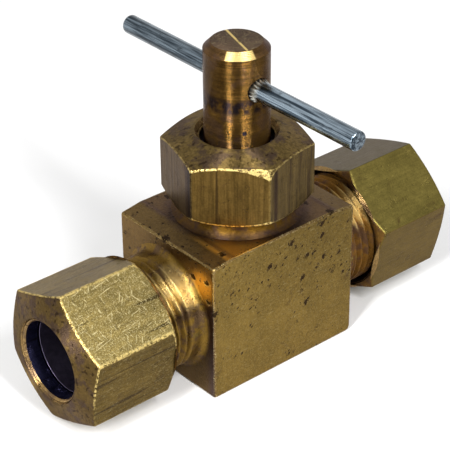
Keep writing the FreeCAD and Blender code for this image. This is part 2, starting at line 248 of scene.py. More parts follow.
def rounded(corners, radius, steps=3, closed=True):
    """Round the corners of an outline with arcs; a corner is (across, along) or (across, along, radius)."""
    count = len(corners)
    points = []
    for index, corner in enumerate(corners):
        own = corner[2] if len(corner) > 2 else radius
        here = np.array(corner[:2], dtype=float)
        if own <= 0 or (not closed and index in (0, count - 1)):
            points.append(here)
            continue
        before = np.array(corners[index - 1][:2], dtype=float) - here
        after = np.array(corners[(index + 1) % count][:2], dtype=float) - here
        room_before, room_after = np.linalg.norm(before), np.linalg.norm(after)
        before, after = before / room_before, after / room_after
        half = math.acos(float(np.clip(np.dot(before, after), -1, 1))) / 2
        if half > math.radians(88):
            points.append(here)
            continue
        reach = min(own / math.tan(half), 0.45 * room_before, 0.45 * room_after)
        arc = reach * math.tan(half)
        middle = here + (before + after) / np.linalg.norm(before + after) * (arc / math.sin(half))
        first, last = here + before * reach - middle, here + after * reach - middle
        swing = math.pi - 2 * half
        for step in range(steps + 1):
            share = step / steps
            points.append(middle + (math.sin((1 - share) * swing) * first + math.sin(share * swing) * last)
                          / math.sin(swing))
    return points


def round_angles(columns):
    """Evenly spaced angles round an axis."""
    return np.arange(columns) * 2 * math.pi / columns


def ring(angles, across, along):
    """Points round +Z at these angles, radii and heights."""
    angles, across, along = np.broadcast_arrays(angles, across, along)
    return np.stack([across * np.cos(angles), across * np.sin(angles), along], axis=-1)


def turned(profile, columns=ROUND):
    """Revolve a closed (radius, height) outline round +Z; returns vertices and faces."""
    profile = np.asarray(profile, dtype=float)
    points = ring(round_angles(columns), profile[:, 0:1], profile[:, 1:2])
    return points.reshape(-1, 3), loop_faces(len(profile), columns)


def place(points, axis, corner, origin):
    """Move local points so that +Z runs along axis, +X along corner and (0, 0, 0) is at origin."""
    axis, corner = np.array(axis, dtype=float), np.array(corner, dtype=float)
    side = np.cross(axis, corner)
    return points[:, 0:1] * corner + points[:, 1:2] * side + points[:, 2:3] * axis + np.array(origin)


def join(parts):
    """Put several (vertices, faces) skins into one."""
    vertices, faces, start = [], [], 0
    for points, quads in parts:
        vertices.append(points)
        faces += [tuple(start + corner for corner in quad) for quad in quads]
        start += len(points)
    return np.concatenate(vertices), faces


# ---------------------------------------------------------------- valve body
def bar_block():
    """The square bar with its two bevelled shoulders; every edge has a small round."""
    side = np.array(rounded([
        (-BAR_HALF, 0.0), (BAR_HALF, 0.0, 0.6), (BAR_HALF, BAR_TOP - SHOULDER_DROP),
        (BAR_HALF - SHOULDER_RUN, BAR_TOP, 0.25), (-BAR_HALF + SHOULDER_RUN, BAR_TOP, 0.25),
        (-BAR_HALF, BAR_TOP - SHOULDER_DROP)], BAR_EDGE))
    size = np.array([BAR_HALF, BAR_TOP / 2])
    middle = np.array([0.0, BAR_TOP / 2])
    stations = []
    for step in range(5):
        swing = math.radians(90 * step / 4)
        stations.append((BAR_EDGE * (1 - math.sin(swing)), -BAR_WIDTH / 2 + BAR_EDGE * (1 - math.cos(swing))))
    stations += [(inset, -across) for inset, across in stations[::-1]]
    points = []
    for inset, across in stations:
        shrunk = middle + (side - middle) * (1 - inset / size)
        points.append(np.stack([shrunk[:, 0], np.full(len(side), across), shrunk[:, 1]], axis=-1))
    count = len(side)
    faces = []
    for row in range(len(stations) - 1):
        for column in range(count):
            beside = (column + 1) % count
            faces.append((row * count + beside, row * count + column,
                          (row + 1) * count + column, (row + 1) * count + beside))
    faces.append(tuple(range(count)))
    faces.append(tuple(range((len(stations) - 1) * count, len(stations) * count))[::-1])
    return np.concatenate(points), faces


def flare(start, size):
    """Outline of a neck's root: an arc that leaves the bar at height start and ends at the neck's radius."""
    swings = [math.radians(swing) for swing in range(0, 91, 15)]
    return [(THREAD_RAD + size * (1 - math.sin(swing)), start + size * (1 - math.cos(swing)))
            for swing in swings]


def thread_form(phase):
    """Height of a thread from its root: 0 at the root, 1 at the crest, with small flats."""
    wave = 1 - abs(2 * (phase % 1.0) - 1)
    return np.clip(wave * 1.35 - 0.15, 0, 1)


def threaded_skin(smooth_end, thread_end):
    """Rows of a threaded cylinder along +Z that fades into a plain neck at smooth_end."""
    rows = int((thread_end - smooth_end) / PITCH * 16)
    heights = np.linspace(smooth_end, thread_end, rows)[:, None]
    angles = round_angles(ROUND)[None, :]
    fade = np.clip((heights - smooth_end - 0.9) / 0.4, 0, 1)
    run_out = np.clip((thread_end - heights) / 0.5, 0, 1)
    cut = (1 - thread_form(heights / PITCH - angles / (2 * math.pi))) * THREAD_DEPTH * fade
    return ring(angles, THREAD_RAD - cut - (1 - run_out) * 0.5, heights)


def end_neck(direction):
    """A compression neck: a flare at the bar, a screw thread, and the tube socket inside it."""
    hidden = BAR_HALF - 1.0
    inside = rounded([(THREAD_RAD - 0.75, NECK_END), (SEAT_RAD, NECK_END), (TUBE_BORE, SEAT_START),
                      (TUBE_BORE, SOCKET_STOP), (FLOW_RAD, SOCKET_STOP), (FLOW_RAD, hidden)],
                     0.08, closed=False)
    outside = [(THREAD_RAD + NECK_FLARE, hidden)] + flare(BAR_HALF, NECK_FLARE)
    rows = [ring(round_angles(ROUND), *point) for point in outside]
    rows += list(threaded_skin(BAR_HALF + NECK_FLARE + 0.05, NECK_END - 0.05))
    rows += [ring(round_angles(ROUND), *point) for point in inside]
    points = place(np.concatenate(rows), (direction, 0, 0), (0, 0, 1), (0, 0, RUN_HIGH))
    return points, loop_faces(len(rows), ROUND)


def bonnet_neck():
    """The threaded neck under the packing nut, with a flare at the bar and the packing chamber inside."""
    hidden = BAR_TOP - 1.0
    return turned([(THREAD_RAD + BONNET_FLARE, hidden)] + flare(BAR_TOP, BONNET_FLARE) + [
        (THREAD_RAD, BONNET_TOP - 0.6), (THREAD_RAD - 0.6, BONNET_TOP), (PACKING_RAD, BONNET_TOP),
        (PACKING_RAD, hidden)])


def body_zones(centre, normal):
    """Satin sides, a darker and greyer top, golden turned necks, and bores in painted shade."""
    x, y, z = centre.T
    along_run = (np.abs(x) > BAR_HALF + 0.002) & (np.hypot(y, z - RUN_HIGH) > SEAT_RAD + 0.4)
    round_bonnet = (z > BAR_TOP + 0.002) & (np.hypot(x, y) > PACKING_RAD + 0.1)
    bar = (np.abs(y) < 0.01) | (np.abs(normal[:, 1]) > 0.999) | (np.abs(y) > BAR_WIDTH / 2 - 0.3)
    level = normal[:, 2] > 0.999
    shoulder = (normal[:, 2] > 0.97) & ~level & (np.abs(x) > BAR_HALF - SHOULDER_RUN + 0.2)
    return zones(
        # painted shade on every face left over, which lie inside the bores
        even(len(x), PAINTED_BORE_SHADE, 0.3, 0, 0),
        (along_run, NECK, 0.5, 0, 1),
        # far neck: its brass tint warmed by a painted reflection
        (along_run & (x > 0), FAR_NECK, 0.35, 0, 1),
        (round_bonnet, BONNET, 0.2, 0, 1),
        (bar, BODY_EDGE, 0.6, 0.4, 0),
        (bar & (np.abs(normal) > 0.999).any(axis=1), BODY_OTHER, 0.3, 0, 0),
        (bar & (normal[:, 1] < -0.999), BODY_FRONT, 0.3, 0.12, 0),
        (bar & (normal[:, 0] < -0.999), BODY_LEFT, 0.4, 0, 0),
        (bar & level, BODY_TOP, 0.3, 0, 0),
        (bar & shoulder, BODY_BEVEL, 0.3, 0, 0))


def make_valve_body(material):
    skin = join([bar_block(), end_neck(-1), end_neck(1), bonnet_neck()])
    item = make_object("body_casting", skin, "valve_body", ["valve_body"])
    dress(item, material, body_zones)


# ---------------------------------------------------------------- hexagonal nuts
TILT = math.radians(30)  # from a corner of a hexagon to the middle of a flat


def hexagon_angles(flat_steps=14, corner_steps=7):
    """Angles round a hexagon with corners at 0, 60 and so on; closer together at the corners."""
    reach = HEX_RAD - HEX_EDGE / math.cos(TILT)
    corner = math.degrees(math.atan2(HEX_EDGE * 0.5, reach + HEX_EDGE * math.cos(TILT)))
    one = list(np.linspace(-corner, corner, corner_steps))
    one += list(np.linspace(corner, 60 - corner, flat_steps + 2)[1:-1])
    return np.radians([angle + 60 * side for side in range(6) for angle in one])


def hexagon_radius(angles, radius):
    """Distance from the axis to a hexagon with rounded corners, and which angles are at a corner."""
    reach = radius - HEX_EDGE / math.cos(TILT)
    off = np.abs((angles + TILT) % (2 * TILT) - TILT)
    limit = math.atan2(HEX_EDGE * math.sin(TILT), reach + HEX_EDGE * math.cos(TILT))
    on_flat = radius * math.cos(TILT) / np.cos(TILT - off)
    on_corner = reach * np.cos(off) + np.sqrt(np.maximum(HEX_EDGE ** 2 - (reach * np.sin(off)) ** 2, 0))
    return np.where(off < limit, on_corner, on_flat), off < limit * 1.6


def turned_end(angles, across, slope, face, base, sense, worn_corner):
    """Rows (radius, height, edge mark) from a nut's end face out over the cone that cuts its corners.

    Also returns the height at which the cone meets the flats, and how much of that edge is worn away.
    """
    meet = base + sense * slope * (across - face)
    worn = np.full(len(angles), 0.1)
    wear_and_highlight = np.ones(len(angles))
    if worn_corner is not None:
        swing = np.degrees((angles - math.radians(worn_corner) + math.pi) % (2 * math.pi) - math.pi)
        wear_and_highlight -= 0.25 * ((swing < -62) | (swing > 4))
        worn += 0.55 * np.exp(-(swing / np.where(swing < 0, 13, 4)) ** 2) * (sense < 0)
    rows = [
        (face - 0.35, base, 0.0),
        (face - 0.04, base, 0.0),
        (face + 0.04, base + sense * slope * 0.05, 0.0),
        ((face + across) / 2, (base + meet) / 2, 0.0),
        (across - worn - 0.08, meet - sense * slope * (worn + 0.08), 0.0),
        (across - worn, meet - sense * (slope * worn - 0.02), wear_and_highlight),
        (across - 0.02, meet + sense * worn * 0.85, wear_and_highlight),
        (across, meet + sense * (worn + 0.06), wear_and_highlight),
    ]
    return rows, meet, worn


def hexagonal_skin(radius, length, low_end, high_end, inside, worn_corner=None, upright_wear=0.9):
    """A nut along +Z: cones at both ends cut the hexagon's corners. Returns the skin and its edge marks.

    low_end and high_end are (face radius, drop at the corners); inside is the bore's outline from the
    high face down to the low one. worn_corner is the angle of a corner whose edge is rubbed wider.
    """
    angles = hexagon_angles()
    across, at_corner = hexagon_radius(angles, radius)
    upright = at_corner * upright_wear
    ends = []
    for (face, drop), base, sense in ((low_end, 0.0, 1), (high_end, length, -1)):
        rows, meet, worn = turned_end(angles, across, drop / (radius - face), face, base, sense, worn_corner)
        ends.append((rows + [(across, meet + sense * (worn + 0.3), upright)], meet, worn))
    (low_rows, low_meet, _), (high_rows, high_meet, high_worn) = ends
    room = high_meet - high_worn - low_meet - 1.0
    rows = low_rows + [(across, low_meet + 0.5 + room * share, upright) for share in (0.2, 0.4, 0.6, 0.8)]
    rows += high_rows[::-1] + [(*point, 0.0) for point in inside]
    points = np.concatenate([ring(angles, radii, heights) for radii, heights, _ in rows])
    marks = np.concatenate([np.broadcast_to(mark, len(angles)) for _, _, mark in rows])
    return (points, loop_faces(len(rows), len(angles))), marks


def nut_zones(axis, corner, origin, flats, scuffs, front, bore, stains_and_dark_reflections=()):
    """Zones of a nut: six flats counted from the first corner, two end faces, the bore and its rim.

    Each painted dark reflection is a pair of angles from the first corner, in degrees, and the tint between
    them.
    """
    axis, corner, origin = np.array(axis, float), np.array(corner, float), np.array(origin, float)
    side = np.cross(axis, corner)

    def choose(centre, normal):
        across = np.column_stack([(centre - origin) @ corner, (centre - origin) @ side])
        facing = np.column_stack([normal @ corner, normal @ side])
        reach = np.linalg.norm(across, axis=1)
        inward = (across * facing).sum(axis=1) / reach < -0.3
        along = normal @ axis
        number = (np.degrees(np.arctan2(facing[:, 1], facing[:, 0])) % 360 // 60).astype(int)
        # each flat's tint: partly tarnish, partly painted light and reflection
        base = (np.array(flats)[number], np.full(len(reach), 0.4), np.array(scuffs)[number],
                np.zeros(len(reach)))
        tint, *marks = zones(
            base,
            (along > 0.6, front, 0.2, 0, 1),
            (along < -0.6, NUT_BACK, 0.3, 0, 1),
            # painted shade inside the bore
            (inward, bore, 0.4, 0, 0),
            (inward & (along > 0.3), NUT_RIM, 0.6, 0, 1))
        angle = np.degrees(np.arctan2(across[:, 1], across[:, 0])) % 360
        # painted dark reflections: bands on the flats between these angles
        for first, last, color in stains_and_dark_reflections:
            tint[(np.abs(along) < 0.2) & (reach > 7.5) & (angle > first) & (angle < last)] = color
        return tint, *marks

    return choose


def make_compression_nut(side, direction, phase, flats, scuffs, front, bore, material):
    length = NUT_FRONT - NUT_REAR
    inside = rounded([
        (NUT_ENTRY, length, 0.12), (NUT_HOLE, length - 0.4), (NUT_HOLE, length - 2.05),
        (NUT_CHAMBER, length - 3.15), (NUT_CHAMBER, length - 4.2), (NUT_THREAD, length - 4.2),
        (NUT_THREAD, 0.65), (NUT_MOUTH, 0.0, 0.05)], 0.06)
    (vertices, faces), marks = hexagonal_skin(HEX_RAD, length, (8.3, 0.6), (5.7, 1.1), inside)
    swing = math.radians(phase)
    pose = (direction, 0, 0), (0, -math.sin(swing), math.cos(swing)), (direction * NUT_REAR, 0, RUN_HIGH)
    item = make_object(f"{side}_nut", (place(vertices, *pose), faces), f"{side}_nut",
                       [f"{side}_compression_nut"], marks)
    dress(item, material, nut_zones(*pose, flats, scuffs, front, bore))


def make_packing_nut(material):
    length = PACK_HIGH[2] - PACK_LOW[2]
    inside = rounded([
        (PACK_HOLE, length, 0.12), (PACK_HOLE, length - 2.3), (PACK_CAVITY, length - 2.3),
        (PACK_CAVITY, length - 3.8), (NUT_THREAD, length - 3.8), (NUT_THREAD, 0.0)], 0.06)
    (vertices, faces), marks = hexagonal_skin(PACK_HEX_RAD, length, (8.0, 0.7), (5.4, 1.45), inside,
                                              PACK_WORN_CORNER, 0.66)
    swing = math.radians(PACK_TURN)
    pose = (0, 0, 1), (math.cos(swing), math.sin(swing), 0), (0, 0, PACK_LOW[2])
    item = make_object("gland_nut", (place(vertices, *pose), faces), "packing_nut", ["packing_nut"],
                       marks)
    # painted dark reflections on two narrow bands of the flats, one with a black core
    stains_and_dark_reflections = ((173.0, 181.0, PAINTED_DARK_REFLECTION), (174.5, 179.3, PAINTED_BLACK_REFLECTION), (244.5, 247.5, PAINTED_DARK_REFLECTION))
    dress(item, material, nut_zones(*pose, PACK_FLATS, NO_SCUFFS, PACK_TOP, PAINTED_BORE_SHADE, stains_and_dark_reflections))


# ---------------------------------------------------------------- ferrules
def make_ferrule(side, direction, material):
    vertices, faces = turned(rounded([
        (SLEEVE_BORE, 0.0), (4.95, 0.0), (SLEEVE_RAD, 1.84), (SLEEVE_RAD, 3.3), (4.96, SLEEVE_LENGTH),
        (SLEEVE_BORE, SLEEVE_LENGTH)], 0.05))
    vertices = place(vertices, (direction, 0, 0), (0, 0, 1), (direction * SLEEVE_REAR, 0, RUN_HIGH))
    item = make_object(f"{side}_sleeve", (vertices, faces), f"{side}_ferrule", [f"{side}_ferrule"])
    dress(item, material)


# ---------------------------------------------------------------- stem and cross bar
def drill_cross_hole(item):
    """Cut the hole for the cross bar through the spindle."""
    reach = STEM_RAD * 1.5
    points, faces = turned([(0.001, -reach), (PIN_HOLE, -reach), (PIN_HOLE, reach), (0.001, reach)], 96)
    points = place(points, (0, 1, 0), (0, 0, 1), (0, 0, PIN_AT))
    mesh = bpy.data.meshes.new("cutter")
    mesh.from_pydata([tuple(point) for point in points * MM], [], faces)
    cutter = bpy.data.objects.new("cutter", mesh)
    bpy.context.scene.collection.objects.link(cutter)
    modifier = item.modifiers.new("cross_hole", "BOOLEAN")
    modifier.object, modifier.solver = cutter, "EXACT"
    bored = bpy.data.meshes.new_from_object(item.evaluated_get(bpy.context.evaluated_depsgraph_get()))
    item.modifiers.clear()
    item.data = bored
    bpy.data.objects.remove(cutter)
    for polygon in bored.polygons:
        polygon.use_smooth = True


def stem_zones(centre, normal):
    """Tarnished sides, a slope round the top, a dull end and the cross hole in painted shade."""
    up = normal[:, 2]
    in_hole = np.hypot(centre[:, 0], centre[:, 2] - PIN_AT) < PIN_HOLE + 0.02
    return zones(
        even(len(centre), STEM_SIDE, 0.85, 0, 0.5),
        ((up > 0.5) & (up < 0.95), STEM_SLOPE, 0.5, 0, 0.8),
        # painted shade in the cross hole
        (up > 0.95, STEM_END, 0.4, 0.25, 0),
        (in_hole, PAINTED_BORE_SHADE, 0.2, 0, 0))


def make_stem(material):
    outline = [(0.001, STEM_LOW[2]), (STEM_NOSE, STEM_LOW[2]), (STEM_NOSE, 9.2), (STEM_RAD, 9.7),
               (STEM_RAD, 16.5)]
    outline += [(STEM_RAD, height) for height in np.arange(17.0, STEM_TOP - 1.2, 0.35)]
    outline += rounded([(STEM_RAD, STEM_TOP - 1.2), (STEM_RAD, STEM_TOP - STEM_CHAMFER),
                        (STEM_RAD - STEM_CHAMFER, STEM_TOP), (0.001, STEM_TOP)], 0.1, closed=False)
    item = make_object("spindle", turned(outline, 256), "stem", ["stem"])
    drill_cross_hole(item)
    dress(item, material, stem_zones, 30)


def make_cross_bar(material):
    """A drawn steel bar along Y with sheared ends and a splined middle that grips the stem."""
    columns, splines = 96, 18
    angles = round_angles(columns)
    stations = [(-PIN_HALF, 0.001), (-PIN_HALF, PIN_RAD - 0.2), (-PIN_HALF + 0.02, PIN_RAD - 0.12),
                (-PIN_HALF + 0.09, PIN_RAD - 0.04), (-PIN_HALF + 0.2, PIN_RAD)]
    stations += [(along, PIN_RAD) for along in np.linspace(-PIN_HALF + 0.5, -5.2, 30)]
    stations += [(along, PIN_RAD) for along in np.linspace(-5.0, 0, 40)]
    stations += [(-along, across) for along, across in stations[:-1][::-1]]
    rows = []
    for along, across in stations:
        grip = np.clip((4.9 - abs(along)) / 0.9, 0, 1)
        rows.append(ring(angles, across + grip * (0.16 + 0.14 * np.cos(angles * splines)), along))
    points = np.concatenate(rows + [[[0, 0, -PIN_HALF], [0, 0, PIN_HALF]]])
    faces = loop_faces(len(rows), columns)[:-columns]
    last = (len(rows) - 1) * columns
    for column in range(columns):
        beside = (column + 1) % columns
        faces.append((len(points) - 2, beside, column))
        faces.append((len(points) - 1, last + column, last + beside))
    vertices = place(points, (0, 1, 0), (0, 0, 1), (0, 0, PIN_AT))
    item = make_object("cross_bar", (vertices, faces), "stem", ["handle_bar"])
    dress(item, material)


# ---------------------------------------------------------------- shader helpers
class Value:
    """A number, colour or vector inside a node tree; numbers can be added, subtracted and multiplied."""

    def __init__(self, nodes, socket):
        self.nodes, self.socket = nodes, socket

    def __add__(self, other):
        return self.nodes.math("ADD", self, other)

    def __sub__(self, other):
        return self.nodes.math("SUBTRACT", self, other)

    def __mul__(self, other):
        return self.nodes.math("MULTIPLY", self, other)

    def __abs__(self):
        return self.nodes.math("ABSOLUTE", self)


class Nodes:
    """A small writer of node trees."""

    def __init__(self, tree):
        self.tree = tree

    def link(self, source, target):
        """Set a socket to a number, colour or vector, or link a value to it."""
        if isinstance(source, Value):
            self.tree.links.new(source.socket, target)
        elif isinstance(source, tuple) and target.type != "VECTOR":
            target.default_value = (*source, 1)
        else:
            target.default_value = source

    def node(self, kind, output, inputs, **settings):
        """Add a node with these settings and inputs, and return one of its outputs."""
        node = self.tree.nodes.new("ShaderNode" + kind)
        for name, value in settings.items():
            setattr(node, name, value)
        for name, source in inputs.items():
            self.link(source, node.inputs[name])
        return Value(self, node.outputs[output])

    def math(self, operation, first, second=0.0, clamp=False):
        return self.node("Math", 0, {0: first, 1: second}, operation=operation, use_clamp=clamp)

    def steps(self, value, low, high, start=0.0, end=1.0):
        """A smooth change from start to end while value goes from low to high."""
        limits = {"From Min": low, "From Max": high, "To Min": start, "To Max": end}
        return self.node("MapRange", "Result", {"Value": value, **limits}, interpolation_type="SMOOTHSTEP")

    def seen(self):
        """1 for what the camera, reflections and glass see, 0 for the light that falls on things."""
        path = self.tree.nodes.new("ShaderNodeLightPath").outputs
        camera, glossy, through = [Value(self, path[f"Is {kind} Ray"])
                                   for kind in ("Camera", "Glossy", "Transmission")]
        return self.math("ADD", camera + glossy, through, clamp=True)


class Shader(Nodes):
    """The node tree of a material; places, distances and patterns in it are in millimetres."""

    def __init__(self, name):
        self.material = bpy.data.materials.new(name)
        self.material.use_nodes = True
        super().__init__(self.material.node_tree)
        self.bsdf = self.tree.nodes["Principled BSDF"]
        metres = self.node("TexCoord", "Object", {})
        self.place = self.node("Mapping", "Vector", {"Vector": metres, "Scale": (1 / MM, 1 / MM, 1 / MM)})
        whole = self.tree.nodes.new("ShaderNodeSeparateXYZ")
        self.link(self.place, whole.inputs[0])
        self.x, self.y, self.z = [Value(self, part) for part in whole.outputs]

    def vector(self, scale=(1, 1, 1), shift=(0, 0, 0), turn=None):
        """The place, turned by these degrees, then scaled and shifted: what a pattern is laid along."""
        source = self.place
        if turn:
            angles = tuple(math.radians(angle) for angle in turn)
            source = self.node("Mapping", "Vector", {"Vector": source, "Rotation": angles})
        return self.node("Mapping", "Vector", {"Vector": source, "Scale": scale, "Location": shift})

    def noise(self, vector, scale, detail=4, roughness=0.6, distortion=0.0):
        sizes = {"Scale": scale, "Detail": detail, "Roughness": roughness, "Distortion": distortion}
        return self.node("TexNoise", "Fac", {"Vector": vector, **sizes})

    def cells(self, vector):
        """Distance from the nearest of many scattered points."""
        return self.node("TexVoronoi", "Distance", {"Vector": vector, "Scale": 1.0})

    def mix(self, share, first, second):
        return self.node("Mix", 2, {0: share, 6: first, 7: second}, data_type="RGBA")

    def brighten(self, color, level):
        return self.node("VectorMath", 0, {0: color, "Scale": level}, operation="SCALE")

    def attribute(self, name, output="Fac"):
        return self.node("Attribute", output, {}, attribute_name=name)

    def radius(self):
        """Distance from the upright axis."""
        return self.math("SQRT", self.x * self.x + self.y * self.y)

    def distance(self, point):
        return self.node("VectorMath", "Value", {0: self.place, 1: point}, operation="DISTANCE")

    def band(self, value, rise_from, rise_to, fall_from, fall_to):
        """1 between two limits of value and 0 outside them, with a smooth rise and fall."""
        return self.steps(value, rise_from, rise_to) * self.steps(value, fall_from, fall_to, 1.0, 0.0)

    def bump(self, height, distance, strength=1.0, base=None):
        inputs = {"Height": height, "Distance": distance * MM, "Strength": strength}
        if base:
            inputs["Normal"] = base
        return self.node("Bump", "Normal", inputs)

    def round_grain(self, axis, middle):
        """The direction round an axis through middle, for the grain of turned faces."""
        outward = self.node("VectorMath", 0, {0: self.place, 1: middle}, operation="SUBTRACT")
        around = self.node("VectorMath", 0, {0: outward, 1: axis}, operation="CROSS_PRODUCT")
        return self.node("VectorTransform", 0, {0: around}, vector_type="VECTOR", convert_from="OBJECT",
                         convert_to="WORLD")

    def finish(self, color, roughness, normal=None, metallic=1.0):
        self.link(color, self.bsdf.inputs["Base Color"])
        self.link(roughness, self.bsdf.inputs["Roughness"])
        self.link(metallic, self.bsdf.inputs["Metallic"])
        if normal:
            self.link(normal, self.bsdf.inputs["Normal"])
        return self.material


# ---------------------------------------------------------------- old brass
UPRIGHT_AXIS = (0, 0, 1), (0, 0, 0)
RUN_AXIS = (1, 0, 0), (0, 0, RUN_HIGH)
POLISHED, SATIN = 0.12, 0.46  # roughness
BRASS_REFLECTION = (0.72, 0.67, 0.66)  # tint of reflections seen at a slant


def stained(shade, color, where):
    """Brown tarnish stains, and violet blotches on the turned faces."""
    stains_and_dark_reflections = shade.steps(shade.noise(where, 0.34, 6, 0.75, 0.8), 0.56, 0.74, 0.0, 0.75)
    color = shade.mix(stains_and_dark_reflections, color, STAIN)
    blotches = shade.steps(shade.noise(where, 0.42, 4, 0.65), 0.47, 0.6, 0.0, 0.6)
    return shade.mix(blotches * shade.attribute("turned"), color, VIOLET)


def scratched(shade, color, where):
    """Fine scratches in three directions, and light and dark grit, on scuffed faces only."""
    scuff = shade.attribute("scuff")
    for swing, shift in ((35, 1.7), (-20, 5.1), (80, 9.4)):
        line = shade.noise(shade.vector((6, 0.42, 6), (shift,) * 3, (-30, 0, swing)), 1.0, 1, 0.4, 0.5)
        color = shade.mix(shade.steps(line, 0.68, 0.72) * scuff, color, SCRATCH)
    grit = shade.noise(where, 7.5, 2, 0.6)
    color = shade.mix(shade.steps(grit, 0.56, 0.62, 0.0, 0.6) * scuff, color, SCRATCH)
    return shade.mix(shade.steps(grit, 0.34, 0.41, 0.45, 0.0) * scuff, color, STAIN)


def pitting(shade, where, fine, share, scale, turn, rise, seed):
    """Pits of three sizes in some regions; few on turned faces, and more of them upwards through rise."""
    regions = shade.noise(where, 0.26, 2)
    if rise:
        regions = regions + shade.steps(shade.z, *rise, -0.1, 0.1)
    ragged = (fine - 0.5) * 0.5
    pits = 0.0
    for density, size, shift in ((0.42, 0.15, seed), (0.9, 0.12, seed + 3.3), (2.2, 0.13, seed + 6.1)):
        spread = tuple(density * part for part in scale)
        spots = shade.cells(shade.vector(spread, (shift,) * 3, turn)) + ragged
        pits = shade.math("MAXIMUM", pits, shade.steps(spots, size, size + 0.05, 1.0, 0.0))
    pits = pits * shade.steps(regions, 0.42, 0.54, 0.0, share)
    return pits * shade.steps(shade.attribute("turned"), 0.0, 1.0, 1.0, 0.25)


def worn(shade, color, where, wear):
    """Bright metal where the edges are rubbed; less of it near the floor."""
    chips = shade.steps(shade.noise(where, 2.6, 4, 0.75), 0.43, 0.53, 0.0, wear)
    wear_and_highlight = shade.steps(shade.attribute("edge"), 0.6, 0.95) * chips
    return shade.mix(wear_and_highlight * shade.steps(shade.z, 5, 9, 0.15, 1.0), color, WORN)


def brass_relief(shade, polish, streak, rings, fine, pits):
    """Bumps from the streaks, the turning rings, the fine grain and the pits; polish flattens the first."""
    relief = shade.steps(polish, 0.3, 1.0, 1.0, 0.15)
    normal = shade.bump(streak, 0.04, relief)
    if rings:
        wave = shade.math("SINE", shade.z * (2 * math.pi / RING_PITCH))
        normal = shade.bump(wave, rings * RING_PITCH, 1.0, normal)
    normal = shade.bump(fine, 0.03, relief, normal)
    return shade.bump(pits * -1.0, 0.1, 1.0, normal)


def brush(shade, axes):
    """Stretch the reflections of turned faces round their axis: the second axis is that of the run."""
    shade.link(0.25, shade.bsdf.inputs["Anisotropic Rotation"])
    shade.link(shade.attribute("turned"), shade.bsdf.inputs["Anisotropic"])
    grains = [shade.round_grain(*axis) for axis in axes]
    if len(grains) > 1:
        sideways = shade.steps(abs(shade.x), BAR_HALF - 0.05, BAR_HALF)
        grains = [shade.mix(sideways, *grains)]
    shade.link(grains[0], shade.bsdf.inputs["Tangent"])


def brass(name, grain, axes, seed=0.0, streaks=0.3, mottling=0.3, details=None, lines=0.0, pits=0.6,
          pit_scale=(0.6, 0.6, 0.6), pit_turn=None, pit_rise=None, wear=0.8, rings=0.0, dull=None):
    """Old brass: tinted zones with tarnish clouds, drawn or turned grain, pits, scratches and rubbed edges.

    grain is the scale of the streaks along each axis: small along the direction that they run in.
    pit_rise is the pair of heights between which pits become common. dull is a pair of heights and the
    roughness added below and above them. details is a function that adds the marks and painted light of one
    piece.
    """
    shade = Shader(name)
    where = shade.vector(shift=(seed,) * 3)
    along = shade.vector(grain, (seed, 0, seed))
    cloud = shade.noise(where, 0.2, 4, 0.6, 0.5)
    patch = shade.noise(where, 0.95, 5, 0.65)
    fine = shade.noise(where, 4.5, 3, 0.7)
    streak = shade.noise(along, 2.4, 4, 0.75)
    level = shade.steps(cloud, 0.3, 0.7, 1 - mottling * 0.55, 1 + mottling * 0.5)
    level = level * shade.steps(patch, 0.3, 0.7, 1 - mottling * 0.4, 1 + mottling * 0.4)
    level = level * shade.steps(fine, 0.3, 0.7, 0.86, 1.15)
    level = level * shade.steps(streak, 0.3, 0.7, 1 - streaks, 1 + streaks * 0.8)
    color = stained(shade, shade.brighten(shade.attribute("tint", "Color"), level), where)
    if details:
        color = details(shade, color, patch)
    if lines:
        scored = shade.steps(shade.noise(along, 1.5, 1, 0.4), 0.64, 0.67, 0.0, lines)
        color = shade.mix(scored, color, PIT)
    color = scratched(shade, color, where)
    holes = pitting(shade, where, fine, pits, pit_scale, pit_turn, pit_rise, seed)
    color = shade.mix(holes, color, PIT)
    if wear:
        color = worn(shade, color, where, wear)
    polish = shade.attribute("polish")
    roughness = shade.steps(polish, 0.0, 1.0, SATIN, POLISHED) + shade.steps(patch, 0.3, 0.7, -0.03, 0.05)
    if dull:
        roughness = roughness + shade.steps(shade.z, *dull)
    shade.link(BRASS_REFLECTION, shade.bsdf.inputs["Specular Tint"])
    brush(shade, axes)
    return shade.finish(color, roughness, brass_relief(shade, polish, streak, rings, fine, holes))


# ---------------------------------------------------------------- marks and painted light on single pieces
def front_marks(shade, color):
    """The front is a little lighter at the bottom left and up to about a quarter darker towards the top
    right.
    """
    front = shade.steps(shade.y, -8.74, -8.6, 1.0, 0.0)
    far = shade.steps(shade.x * 0.8 + shade.z, 6, 26, 0.03, -0.24)
    return shade.brighten(color, front * far + 1.0)


def end_face_painted_light(shade, color):
    """The bar's end faces: painted shade darkening them towards the floor, one painted glowing reflection and
    one painted shadow.
    """
    face = shade.band(abs(shade.x), 11.05, 11.18, 11.2, 11.3)
    # painted shade: darker towards the floor
    color = shade.brighten(color, face * shade.steps(shade.z, 2, 17, -0.3, 0.0) + 1.0)
    # painted reflection: a glowing spot near the upper front corner
    away = shade.distance((-BAR_HALF, -6.9, 15.0))
    color = shade.mix(face * shade.steps(away, 0.6, 3.0, 0.62, 0.0), color, PAINTED_GLOW)
    # painted shadow on the lower front of each end face
    shadow = shade.steps(shade.y, -8.5, -6.8, 0.7, 0.0) * shade.steps(shade.z, 12.2, 14.2, 1.0, 0.0)
    return shade.mix(face * shadow, color, VIOLET)


def neck_painted_highlight(shade, color):
    """A painted highlight: a bright band along the upper front of both necks."""
    upper = (shade.z - RUN_HIGH) * 0.8 - shade.y * 0.6
    # painted highlight
    bright = shade.steps(abs(shade.x), 11.3, 12.2) * shade.steps(upper, 6.2, 6.9, 0.0, 0.34)
    return shade.mix(bright, color, PAINTED_HIGHLIGHT)


